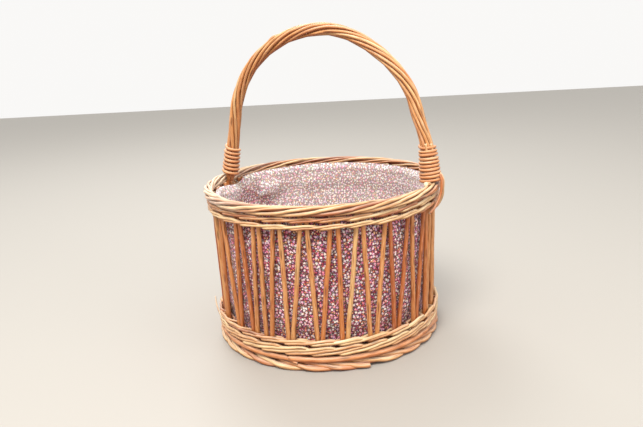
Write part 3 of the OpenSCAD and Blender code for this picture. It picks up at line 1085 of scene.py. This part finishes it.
def make_lining(material):
    """Wall of the lining: a loose tube of cloth with a hem at the top and folds at the left."""
    rng = random.Random(61)
    across, up = 520, 110
    z0 = LINING_Z0 + 0.5 * MM
    waves = [(rng.randint(7, 23), rng.uniform(0, TAU), rng.uniform(0.3, 1.0)) for _ in range(9)]
    gathers = [(rng.randint(38, 74), rng.uniform(0, TAU), rng.uniform(0.3, 1.0)) for _ in range(5)]
    verts, faces, painted_fold_shade = [], [], []
    for j in range(up + 1):
        for i in range(across):
            a = TAU * i / across - math.pi
            degrees = math.degrees(a)
            z = z0 + (LINING_Z1 - slipped(degrees) - z0) * j / up
            pucker = sum(s * math.sin(k * a + p) for k, p, s in waves) / 9
            gather = sum(s * math.sin(k * a + p) for k, p, s in gathers) / 5
            low = 1 - abs(2 * j / up - 1) ** 3
            r = lining_r(z) - 1.2 * MM * low * (0.6 + pucker) - billow(degrees, z)
            below_hem = (HEM_H - (LINING_Z1 - slipped(degrees) - z)) / MM
            r -= 0.9 * MM * smooth(below_hem / 1.2) - 0.5 * MM * gather * smooth((below_hem + 14) / 14)
            verts.append(polar(r, a, z))
            # painted shade in the recess between the folds and under the first fold, which keeps the print
            # dark there
            shade = between(degrees, 132, 154, 5, 1.5) * between(z / MM, 128, 172, 14, 12)
            painted_fold_shade.append(0.6 * max(shade, between(degrees, 120, 138, 8, 6) * between(z / MM, 120, 152, 8, 8)))
    uvs = []
    for j in range(up):
        v0, v1 = z0 + (LINING_Z1 - z0) * j / up, z0 + (LINING_Z1 - z0) * (j + 1) / up
        for i in range(across):
            k = (i + 1) % across
            faces.append((j * across + i, j * across + k, (j + 1) * across + k, (j + 1) * across + i))
            u0, u1 = TAU * i / across * LINING_R, TAU * (i + 1) / across * LINING_R
            uvs.extend([(u0, v0), (u1, v0), (u1, v1), (u0, v1)])
    lining = sheet_mesh("lining", verts, uvs, faces, material, {"painted_fold_shade": painted_fold_shade})
    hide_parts("lining_wall", "lining_hem")


def make_lining_floor(material):
    """The round of cloth on the base."""
    disc_r = LINING_FOOT_R + 0.6 * MM
    rings, around = 44, 128
    verts, faces, uvs = [(0, 0, LINING_Z0 + 1 * MM)], [], []
    for j in range(1, rings + 1):
        r = disc_r * j / rings
        for i in range(around):
            a = TAU * i / around
            ripple = math.sin(5 * a + 40 * r) + 0.6 * math.sin(3 * a - 90 * r + 1)
            lift = 0.5 * MM * abs(ripple) * math.sin(math.pi * j / rings)
            verts.append(tuple(polar(r, a, LINING_Z0 + 1 * MM + lift)))
    for i in range(around):
        faces.append((0, 1 + i, 1 + (i + 1) % around))
    for j in range(rings - 1):
        for i in range(around):
            p, q = 1 + j * around + i, 1 + j * around + (i + 1) % around
            faces.append((p, p + around, q + around, q))
    uvs = [verts[v][:2] for face in faces for v in face]
    floor = sheet_mesh("lining_floor", verts, uvs, faces, material, {})
    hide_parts("lining_base")


# Loose ends of thread at the left of the back: angle and height of each end
LOOSE_THREADS = [((155, 182), (151.5, 173)), ((151.5, 173), (152.6, 157)), ((135, 150), (132, 141))]


def make_stitches(material):
    """Stitches through the hem, and a few loose ends of thread."""
    rng = random.Random(67)
    stitches = Rods("lining_stitches")
    for i in range(STITCHES):
        a = TAU * i / STITCHES - math.pi + rng.uniform(-0.02, 0.02)
        degrees = math.degrees(a)
        top = LINING_Z1 - slipped(degrees)
        path = []
        for out, turn, z in ((-0.9, 0, -8.4), (-1.5, 0.004, -6), (-1.6, 0.008, -3.5), (-0.8, 0.012, -0.6)):
            r = lining_r(top + z * MM) - billow(degrees, top + z * MM) + out * MM - 0.9 * MM
            path.append(polar(r, a + turn, top + z * MM))
        stitches.add(through(path, 12), 0.38 * MM, 0.5, 6)
    for (a0, z0), (a1, z1) in LOOSE_THREADS:
        path = []
        for f in (0, 0.3, 0.7, 1):
            degrees = a0 + (a1 - a0) * f + 0.5 * math.sin(5 * f)
            z = (z0 + (z1 - z0) * f) * MM
            r = lining_r(z) - billow(degrees, z) - 2.6 * MM
            path.append(polar(r, math.radians(degrees), z))
        stitches.add(through(path, 16), 0.32 * MM, 0.5, 6)
    stitches.build(material, "thread", "lining_thread")


def keep_cad(node, material):
    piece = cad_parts[node]
    for slot in piece.material_slots:
        slot.link = "OBJECT"
        slot.material = material


make_camera()
make_light()
make_floor()

brown = willow("willow_brown", BROWN_TINTS, 0.25)
pale = willow("willow_pale", PALE_TINTS, 0.4)
rim_pale = willow("willow_rim", PALE_TINTS, 0.45, 0.7)
rust = willow("willow_rust", RUST_TINTS, 0.3)
cloth = print_cloth("lining_print")
core = core_wood("willow_core", RUST_TINTS)
thread = cotton("thread", (0.80, 0.74, 0.63))

make_stakes(brown)
make_wale(
    ["top_weaver_1", "top_weaver_2", "top_weaver_3"], pale, 3, TOP_Z0, TOP_WALE_D, 9, 2, 0.62,
    [("top_wale_1", "top_wale_2"), ("top_wale_3",), ("top_wale_4",)], 71,
)
make_wale(
    ["foot_weaver_1", "foot_weaver_2", "foot_weaver_3", "foot_weaver_4"], pale, 4, LOW_Z0, LOW_WALE_D, 9.5, 1,
    0.66, [("foot_wale_1",), ("foot_wale_2",), ("foot_wale_3",), ()], 73,
)
make_wale(
    ["foot_weaver_5", "foot_weaver_6", "foot_weaver_7"], pale, 3, LOW_Z0 + 2.8 * LOW_WALE_D, LOW_WALE_D,
    5.5, 1, 0.66, [("foot_wale_4",), ("foot_wale_5",), ()], 79,
)
make_rim(rim_pale)
make_foot(pale)
make_kick(rust)
make_ropes(brown, pale)
make_lapping("lapping_left", -1, 7.05, 5.1 * MM, 2.05 * MM, (-0.3, 0.9, 0.2), rust, "handle_lap_left", 81)
make_lapping("lapping_right", 1, 9.6, 4.15 * MM, 1.95 * MM, (1.5, 2.2, 0.9), rust, "handle_lap_right", 83)
make_stubs(pale)
make_tail(pale, rust)
make_tip(rim_pale)
make_base(brown, pale)
make_lining(cloth)
make_lining_floor(cloth)
make_stitches(thread)
keep_cad("handle_bow", core)
